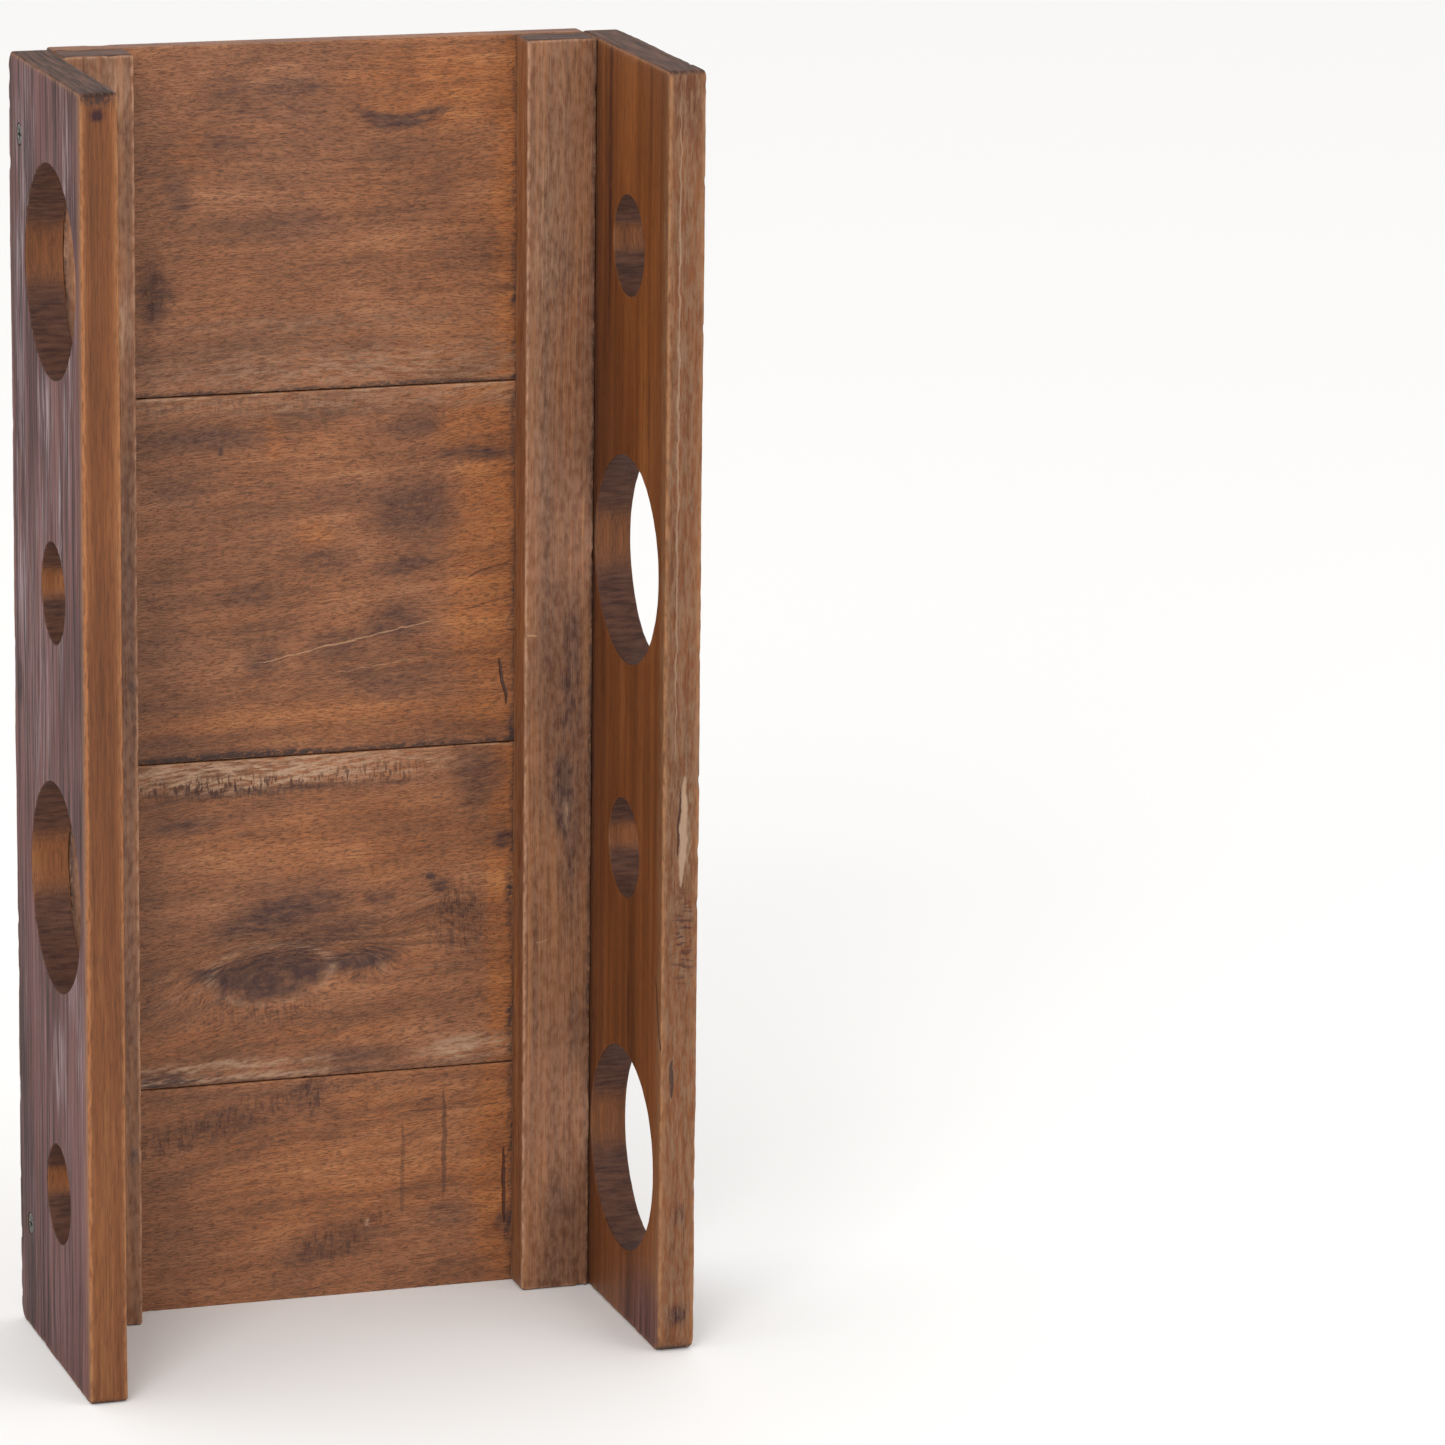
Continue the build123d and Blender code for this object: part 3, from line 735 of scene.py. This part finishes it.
rightLines = [
    scratch((109.7, front, 499), (109.9, front, 232), 0.5, "scratch", 0.4),
    scratch((114, front, 230), (112.6, front, 186), 1.9, "scratch", 0.7),
    scratch((112.2, front, 226), (111, front, 198), 0.5, "stain", 0.8),
    scratch((109.6, front, 118), (109.8, front, 102), 0.8, "grime", 0.9),
    scratch((inside, -50, 150), (inside, -57, 121), 0.8, "grime", 0.9, 0),
    scratch((inside, 15.5, 498), (inside, 15, 440), 1.0, "ring", 0.6, 0),
]
rightTints = {**oiledBoard["tints"], "pale": "#80664f", "scratch": "#a98c74"}
leftWood = woodMaterial("Reclaimed hardwood, old outside face (left side)",
                        {**sideLook, "lines": leftLines})
rightWood = woodMaterial("Reclaimed hardwood, old outside face (right side)",
                         {**sideLook, "lines": rightLines, "tints": rightTints})
makeBoard("leftSideBoard", leftSide).data.materials.append(leftWood)
makeBoard("rightSideBoard", rightSide).data.materials.append(rightWood)

# The two corner battens, grain upright

batten = {"axes": (2, 0, 1), "holes": [], "step": 1.3, "arris": 1.1, "chips": 0.7, "arrisWearAndHighlight": 1.0,
          "eyes": [], "corners": {(x, y): 1.6 for x in (False, True) for y in (False, True)},
          "ridge": {"low": 0.04, "high": 0.03}, "weathered": {}, "slot": "batten_wood",
          "waves": [(60, 60, 0.10), (14, 6, 0.035)], "edgeRelief": 1.0, "waveLength": 160,
          "waveHeight": 2.5, "slope": 0.0}
leftBatten = {**batten, "node": "left_batten", "seed": 11.4, "marks": {"low": {
    "dark": [spot(120, 14, 200, 20, 0.16), spot(300, 22, 40, 4, 0.3), spot(257, 25, 3, 2, 0.8),
             spot(69, 25, 3, 2, 0.7), spot(150, 20, 60, 5, 0.25), spot(470, 18, 6, 8, 0.3),
             spot(440, 22, 12, 5, 0.3)],
    "pale": [spot(397, 20, 14, 6, 0.6), spot(485, 20, 10, 6, 0.4)],
    # the dark line at 0 across is dirt and painted shade in the corner against the left side board
    "grime": [spot(250, 0, 400, 1.6, 0.9)]}}}
rightBatten = {**batten, "node": "right_batten", "seed": 13.8, "marks": {
    "low": {"dark": [spot(203, 15.5, 14, 4, 1.0), spot(256, 13, 34, 11, 0.42), spot(222, 20, 52, 5, 0.42),
                     spot(165, 19, 36, 4, 0.45), spot(412, 15, 14, 5, 0.34), spot(108, 22, 14, 3.5, 0.45),
                     spot(60, 12, 60, 14, 0.14), spot(330, 22, 70, 4, 0.2)],
            "pale": [spot(196, 18, 8, 1.2, 0.7), spot(450, 10, 60, 8, 0.3), spot(370, 6, 70, 4, 0.25)],
            "rough": [spot(203, 16, 14, 4, 1.0)],
            # the dark line at 28 across is dirt and painted shade in the corner against the right side
            # board
            "grime": [spot(250, 28, 400, 1.6, 0.8), spot(36, 14, 8, 5, 0.3), spot(203, 16, 9, 1.4, 0.5)]},
    "start": {"pale": [spot(250, 8, 600, 20, 0.2)], "warm": [spot(250, 8, 600, 20, 0.2)],
              # the dark line at the back of this face is dirt and painted shade in the corner against the
              # back boards
              "grime": [spot(250, 16, 400, 1.5, 0.7)]}}}
battenFace = 32  # how far back the battens' near face lies, in mm
battenLook = {**oiledBoard,
              "cool": [(0.18, "#3c1c09"), (0.38, "#5c3216"), (0.52, "#704122"), (0.66, "#85532c"),
                       (0.84, "#a2693a")],
              # a brighter arris tint: pale worn wood with a painted highlight
              "tints": {**oiledBoard["tints"], "rub": "#bd9070"},
              "patterns": {**oiledBoard["patterns"], "fibre": (70, 0.55, 2, 0.6), "pore": (12, 0.4, 1, 0.5),
                           "streak": (240, 2.6, 4, 0.6), "band": (500, 8, 3, 0.5), "ring": (400, 3, 2, 0.5),
                           "cloud": (100, 22, 2, 0.5), "patch": (70, 14, 2, 0.5)},
              "depths": {**oiledBoard["depths"], "fibre": 0.5, "streak": 0.7, "band": 0.6, "cloud": 0.7,
                         "pore": 0.35, "rub": 0.8, "hue": 0.2},
              "lines": [scratch((77.5, battenFace, 267), (82, battenFace, 266), 0.5, "scratch", 0.8),
                        scratch((82, battenFace, 143), (88, battenFace, 144), 0.35, "scratch", 0.6)]}
battenWood = woodMaterial("Reclaimed hardwood, planed and oiled (battens)", battenLook)
makeBoard("leftBatten", leftBatten).data.materials.append(battenWood)
makeBoard("rightBatten", rightBatten).data.materials.append(battenWood)

# The screws: zinc-plated steel gone dull, darker in patches, so the eye gets a grey that only half shines

screwLook = {"metal": "#6f6f68", "tarnish": "#34322c", "patch": 0.8}  # patch is one patch of tarnish in mm
screwMetal = bpy.data.materials.new("Steel, dull zinc plate (screws)")
screwMetal.use_nodes = True
tree = screwMetal.node_tree
tree.nodes.clear()
place = add(tree, "TexCoord")["Object"]
patches = add(tree, "TexNoise", {"Vector": place, "Scale": 1 / (mm * screwLook["patch"]),
                                 "Detail": 4.0})["Fac"]
spread = add(tree, "MapRange", patches, 0.4, 0.65)[0]
metal, tarnish = linear(screwLook["metal"]), linear(screwLook["tarnish"])
colour = add(tree, "Mix", {0: spread, 6: metal, 7: tarnish}, data_type="RGBA")[2]
rough = add(tree, "MapRange", patches, 0.3, 0.7, 0.4, 0.75)[0]
surface = add(tree, "BsdfPrincipled", {"Base Color": colour, "Metallic": 1.0, "Roughness": rough})
add(tree, "OutputMaterial", {"Surface": surface[0]})
for node in ("left_side_screws", "right_side_screws", "left_back_screws", "right_back_screws"):
    mesh = frame["nodes"][node].data
    mesh.materials.clear()
    mesh.materials.append(screwMetal)
print("screws finished")

# Floor, light and camera

studio = {"floor": "#fbfaf8", "floorWidth": 14.0, "skyStrength": 0.95,
          "key": {"place": (-1.6, -2.6, 2.0), "width": 1.6, "power": 42},
          "fill": {"place": (2.2, -2.4, 1.2), "width": 2.0, "power": 14}}

floorMesh = bpy.data.meshes.new("floor")
half = studio["floorWidth"] / 2
floorMesh.from_pydata([(-half, -half, 0), (half, -half, 0), (half, half, 0), (-half, half, 0)], [],
                      [(0, 1, 2, 3)])
floor = bpy.data.objects.new("floor", floorMesh)
bpy.context.scene.collection.objects.link(floor)
paper = bpy.data.materials.new("Studio paper, matt")
paper.use_nodes = True
paper.node_tree.nodes["Principled BSDF"].inputs["Base Color"].default_value = linear(studio["floor"])
paper.node_tree.nodes["Principled BSDF"].inputs["Roughness"].default_value = 0.9
floorMesh.materials.append(paper)

sky = bpy.data.worlds.new("studio")
sky.use_nodes = True
sky.node_tree.nodes["Background"].inputs["Color"].default_value = (1, 1, 1, 1)
sky.node_tree.nodes["Background"].inputs["Strength"].default_value = studio["skyStrength"]
bpy.context.scene.world = sky
bpy.context.scene.view_settings.view_transform = "Standard"

middle = (Vector(cadBox[0]) + Vector(cadBox[1])) / 2
for name in ("key", "fill"):
    lamp = studio[name]
    light = bpy.data.lights.new(name, "AREA")
    light.shape = "DISK"
    light.size = lamp["width"]
    light.energy = lamp["power"]
    holder = bpy.data.objects.new(name, light)
    holder.location = lamp["place"]
    holder.rotation_euler = (middle - Vector(lamp["place"])).to_track_quat("-Z", "Y").to_euler()
    bpy.context.scene.collection.objects.link(holder)

shot = {"place": (-0.745, -2.690, 0.915), "yaw": -18.36, "pitch": 13.49, "roll": 0.66, "lens": 186.9}
cameraData = bpy.data.cameras.new("camera")
cameraData.lens = shot["lens"]
cameraData.sensor_width = 36.0
camera = bpy.data.objects.new("camera", cameraData)
turn = Euler((math.radians(90 - shot["pitch"]), 0, math.radians(shot["yaw"])), "XYZ").to_matrix()
camera.matrix_world = (Matrix.Translation(shot["place"])
                       @ (turn @ Matrix.Rotation(math.radians(shot["roll"]), 3, "Z")).to_4x4())
bpy.context.scene.collection.objects.link(camera)
bpy.context.scene.camera = camera
print("studio ready")
